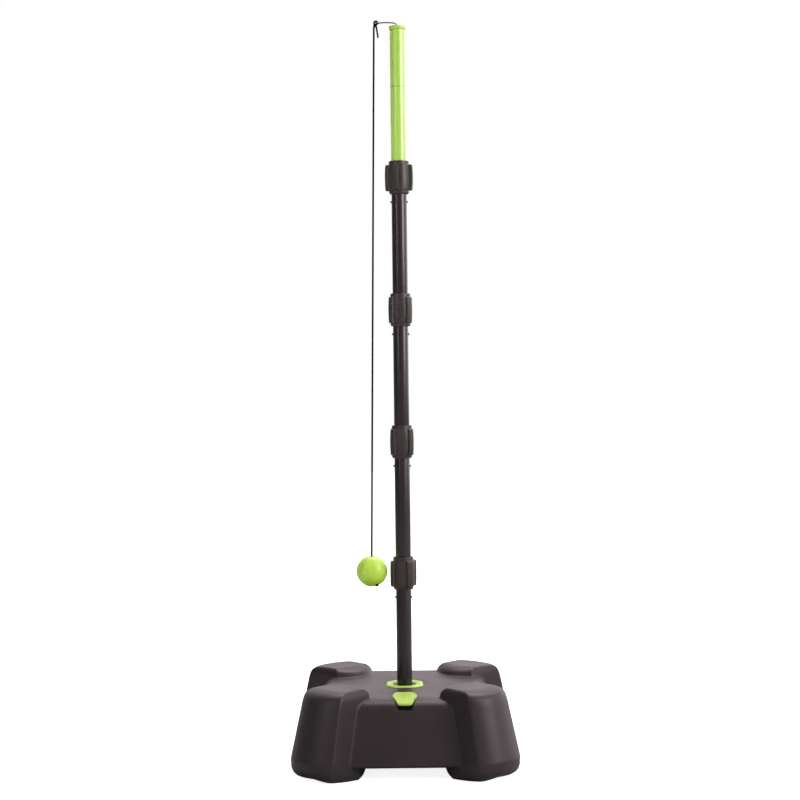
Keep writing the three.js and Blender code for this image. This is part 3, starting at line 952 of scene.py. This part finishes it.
def build_ferrule(number, body, z):
    """The plug in a tube's lower end: a nose for the spigot, a flange for the nut, and ribs."""
    hole, nose, flange = 5 * MM, 8.7 * MM, 18.1 * MM
    shank = PLUG_R - 0.5 * MM
    rows = [(hole, z - 22 * MM), (7.9 * MM, z - 22 * MM), (nose, z - 20.5 * MM),
            (nose, z + 0.3 * MM), (flange, z + 0.3 * MM), (flange, z + 3.7 * MM),
            (shank, z + 3.7 * MM)]
    for k in range(6):
        low = z + (9 + 5 * k) * MM
        rows += [(shank, low), (PLUG_R, low + 0.6 * MM), (PLUG_R, low + 2.4 * MM),
                 (shank, low + 3 * MM)]
    rows += [(shank, z + 41 * MM), (PLUG_R - 1.2 * MM, z + 42 * MM), (hole, z + 42 * MM)]
    mesh = lathed("ferrule", rows, 72, True, 0.25 * MM)
    ferrule = finished(f"ferrule_{number}_moulded", mesh, "black_plastic", 50)
    return place(ferrule, body, "black_plastic", f"ferrule_{number}")


def build_pin(number, body, z):
    half, r = PIN_HALF, PIN_R
    rows = [(0, -half), (r * 0.6, -half), (r, -half + 0.9 * MM), (r, half - 0.9 * MM),
            (r * 0.6, half), (0, half)]
    mesh = crosswise(lathed("pin", rows, 40, False, 0.5 * MM), z - PIN_DROP)
    pin = finished(f"cross_pin_{number}_domed", mesh, "steel_pin", 50)
    return place(pin, body, "steel_pin", f"cross_pin_{number}")


def build_nut(number, body, z):
    """A barrel-shaped twist nut: four fluted wings on a bulged body, and a neck at each end."""
    turn = math.radians(NUT_TURNS[number - 1])
    wing_half = 6.4 * MM  # half a wing's width
    soft = 0.6 * MM  # how far a wing's side leans out
    chamfer = 0.9 * MM
    foot, top = -26 * MM, 27.5 * MM
    middle, half = (top + foot) / 2, (top - foot) / 2
    neck, shoulder = 21 * MM, 22.6 * MM

    def winged(r, h, angle):
        off = abs(h - z - middle)
        if r < neck + 0.2 * MM or off > half + 0.2 * MM:
            return r
        tall = 28.5 * MM + 1.2 * MM * (1 - (off / half) ** 2.4)
        tall -= 0.9 * MM * max(0, (off - half + chamfer) / chamfer) ** 1.5
        aside = abs(((angle - turn + math.pi / 4) % (math.pi / 2)) - math.pi / 4)
        across = tall * math.sin(aside)
        t = min(1, max(0, (wing_half + soft - across) / (2 * soft)))
        flute = max(0, math.cos(TAU * across / FLUTE + math.pi))
        flute *= min(1, max(0, (half - 3 * MM - off) / MM))
        crown = tall - 0.45 * MM * flute
        if across < wing_half:
            crown -= 0.5 * MM * (across / wing_half) ** 2
        return r + (crown - r) * t * t * (3 - 2 * t)

    side = []
    for k in [-25.2, *range(-24, 27, 3), 26.7]:
        bulge = 1 - (abs(k - 0.75) / 27) ** 2.6
        side.append(((23.2 + 1.5 * bulge) * MM, z + k * MM))
    thread = SLEEVE_R + 0.4 * MM
    slide = TUBE_R + 0.5 * MM
    below = [(thread, z + NUT_FOOT), (19 * MM, z + NUT_FOOT), (neck, z + NUT_FOOT + 3.2 * MM),
             (neck, z + foot - 0.3 * MM), (shoulder, z + foot)]
    above = [(shoulder, z + top), (neck, z + top + 0.3 * MM), (neck, z + NUT_TOP - 1.8 * MM),
             (19.6 * MM, z + NUT_TOP), (slide, z + NUT_TOP), (slide, z + 10 * MM),
             (thread, z + 6 * MM)]
    mesh = lathed("nut", below + side + above, 432, True, 0.45 * MM, winged)
    nut = finished(f"twist_nut_{number}_winged", mesh, "nut_plastic", 40)
    return place(nut, f"nut_{number}", "nut_plastic", f"twist_nut_{number}")


def build_mast():
    bodies = ["mast_1", "mast_2", "mast_3", "mast_4", "mast_top"]
    for i, z in enumerate(COUPLING_Z):
        build_tube(f"mast_tube_{i + 1}", bodies[i], "black_tube", "black_tube", z - PIN_DROP)
        build_spigot(i + 1, bodies[i], z)
        build_pin(i + 1, bodies[i], z)
        build_ferrule(i + 1, bodies[i + 1], z)
        build_nut(i + 1, bodies[i + 1], z)
    build_tube("top_tube", "mast_top", "lime_tube", "lime_tube", None)


# ---- Swivel head ----
WIRE_R = 1.5 * MM
# The arm's route in millimetres, from inside the mast up to where its eye starts.
ARM_ROUTE = [(0, 0, 1484), (0, 0, 1512), (0, 0, 1532.3), (-1.8, 0, 1537.3), (-6, 0, 1539.8),
             (-14, 0, 1541), (-25, 0, 1541.3), (-31, 0, 1541.1), (-35.5, 1.2, 1540.8)]


def build_top_bush():
    low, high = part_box("top_bush")
    shoulder = high.z - 8.2 * MM
    bore = 1.9 * MM
    rows = [(bore, low.z), (PLUG_R - 0.6 * MM, low.z), (PLUG_R, low.z + 1 * MM), (PLUG_R, shoulder),
            (TUBE_R - 0.1 * MM, shoulder), (high.x, shoulder + 1.6 * MM),
            (high.x, high.z - 1.4 * MM), (high.x - 1.2 * MM, high.z), (4.8 * MM, high.z),
            (3.8 * MM, high.z - 0.8 * MM), (bore, high.z - 0.8 * MM)]
    mesh = lathed("top_bush", rows, 96, True, 0.5 * MM)
    bush = finished("top_bush_lipped", mesh, "lime_plastic", 50)
    place(bush, "mast_top", "lime_plastic", "top_bush")


def build_arm():
    points = [Vector(p) * MM for p in ARM_ROUTE]
    for k in range(14):
        a = math.radians(60 + 280 * k / 13)
        points.append(EYE + Vector((EYE_R * math.cos(a), EYE_R * math.sin(a), 0)))
    mesh = swept("arm", even(spline(points), 0.6 * MM), WIRE_R, 20)
    place(finished("swivel_arm_wire", mesh, "arm_wire", 60), "arm", "arm_wire", "swivel_arm")


def build_clip():
    """The toothed clip that keeps the arm in its bush."""
    low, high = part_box("arm_clip")
    teeth = 6
    hole = WIRE_R + 0.2 * MM

    def starred(r, h, angle):
        return r if r > 4 * MM else r + 0.9 * MM * max(0, math.cos(teeth * angle)) ** 4

    rows = [(hole, low.z + 0.5 * MM), (high.x, low.z), (high.x, high.z), (hole, high.z + 0.3 * MM)]
    mesh = lathed("clip", rows, 96, True, 0.2 * MM, starred)
    place(finished("arm_clip_toothed", mesh, "steel_pin", 50), "arm", "steel_pin", "arm_clip")


# ---- Stage ----
WARM_LIGHT = (1, 0.91, 0.925)
WHITE = (1, 1, 1)
# How the studio's brightness changes along each axis: from, to, level at from, level at to.
# The levels multiply.
SKY = (("Y", (-0.35, 0.9, 0.45, 2.35)), ("X", (-0.9, 1.0, 0.05, 1.2)),
       ("Z", (0.2, 0.75, 1.0, 0.6)))
# Each lamp's name, place, aim, size, watts and colour, and whether gloss mirrors it. The two fills
# are narrow and aren't mirrored.
LAMPS = (
    ("key_right", (2.54, -1.59, 2.0), (0, 0, 1.0), (1.4, 2.3), 79, WHITE, True),
    ("strip_left", (-2.0, -2.3, 1.9), (0, 0, 1.0), (0.4, 2.0), 14, WHITE, True),
    ("fill_left", (-2.6, -0.7, 1.5), (0, 0, 1.15), (1.2, 1.2), 3.6, WHITE, False),
    ("fill_front", (-1.2, -3.0, 0.8), (-0.05, 0, 0.9), (1.0, 1.0), 2, WHITE, False),
    ("top_back", (0.5, 1.4, 3.6), (0, 0, 0.1), (2.6, 2.0), 105, WARM_LIGHT, True),
)
FILL_SPREAD = math.radians(52)


def build_stage():
    """The floor, and a studio that is white to the eye and uneven as a source of light."""
    corners = ((-9, -9), (9, -9), (9, 9), (-9, 9))
    slab = stacked("floor", [[Vector((x, y, z)) for x, y in corners] for z in (-0.05, 0)])
    finished("floor", slab, "floor_paint")

    world = bpy.data.worlds.new("studio")
    bpy.context.scene.world = world
    world.use_nodes = True
    tree = world.node_tree
    tree.nodes.clear()
    out = tree.nodes.new("ShaderNodeOutputWorld")
    mix = tree.nodes.new("ShaderNodeMixShader")
    path = tree.nodes.new("ShaderNodeLightPath")
    seen = tree.nodes.new("ShaderNodeBackground")
    seen.inputs["Color"].default_value = (1, 1, 1, 1)
    seen.inputs["Strength"].default_value = 1.0
    around = tree.nodes.new("ShaderNodeBackground")
    around.inputs["Color"].default_value = (*WARM_LIGHT, 1)
    split = tree.nodes.new("ShaderNodeSeparateXYZ")
    tree.links.new(tree.nodes.new("ShaderNodeTexCoord").outputs["Generated"], split.inputs[0])
    strength = None
    for axis, numbers in SKY:
        level = tree.nodes.new("ShaderNodeMapRange")
        for key, number in zip(MAP_LIMITS, numbers):
            level.inputs[key].default_value = number
        tree.links.new(split.outputs[axis], level.inputs["Value"])
        if strength is None:
            strength = level.outputs["Result"]
            continue
        product = tree.nodes.new("ShaderNodeMath")
        product.operation = "MULTIPLY"
        tree.links.new(strength, product.inputs[0])
        tree.links.new(level.outputs["Result"], product.inputs[1])
        strength = product.outputs[0]
    tree.links.new(strength, around.inputs["Strength"])
    tree.links.new(path.outputs["Is Camera Ray"], mix.inputs["Fac"])
    tree.links.new(around.outputs[0], mix.inputs[1])
    tree.links.new(seen.outputs[0], mix.inputs[2])
    tree.links.new(mix.outputs[0], out.inputs["Surface"])
    bpy.context.scene.view_settings.view_transform = "Standard"


def build_lamps():
    for name, at, aim, size, watts, colour, mirrored in LAMPS:
        data = bpy.data.lights.new(name, "AREA")
        data.shape = "RECTANGLE"
        data.size, data.size_y = size
        data.energy = watts
        data.color = colour
        lamp = bpy.data.objects.new(name, data)
        lamp.location = at
        lamp.visible_glossy = mirrored
        if not mirrored:
            data.spread = FILL_SPREAD
        lamp.rotation_euler = (Vector(aim) - Vector(at)).to_track_quat("-Z", "Y").to_euler()
        bpy.context.scene.collection.objects.link(lamp)


build_ball()
build_tank()
build_cap()
build_ring()
build_bush_and_seal()
build_mast()
build_top_bush()
build_arm()
build_clip()
build_stage()
build_lamps()
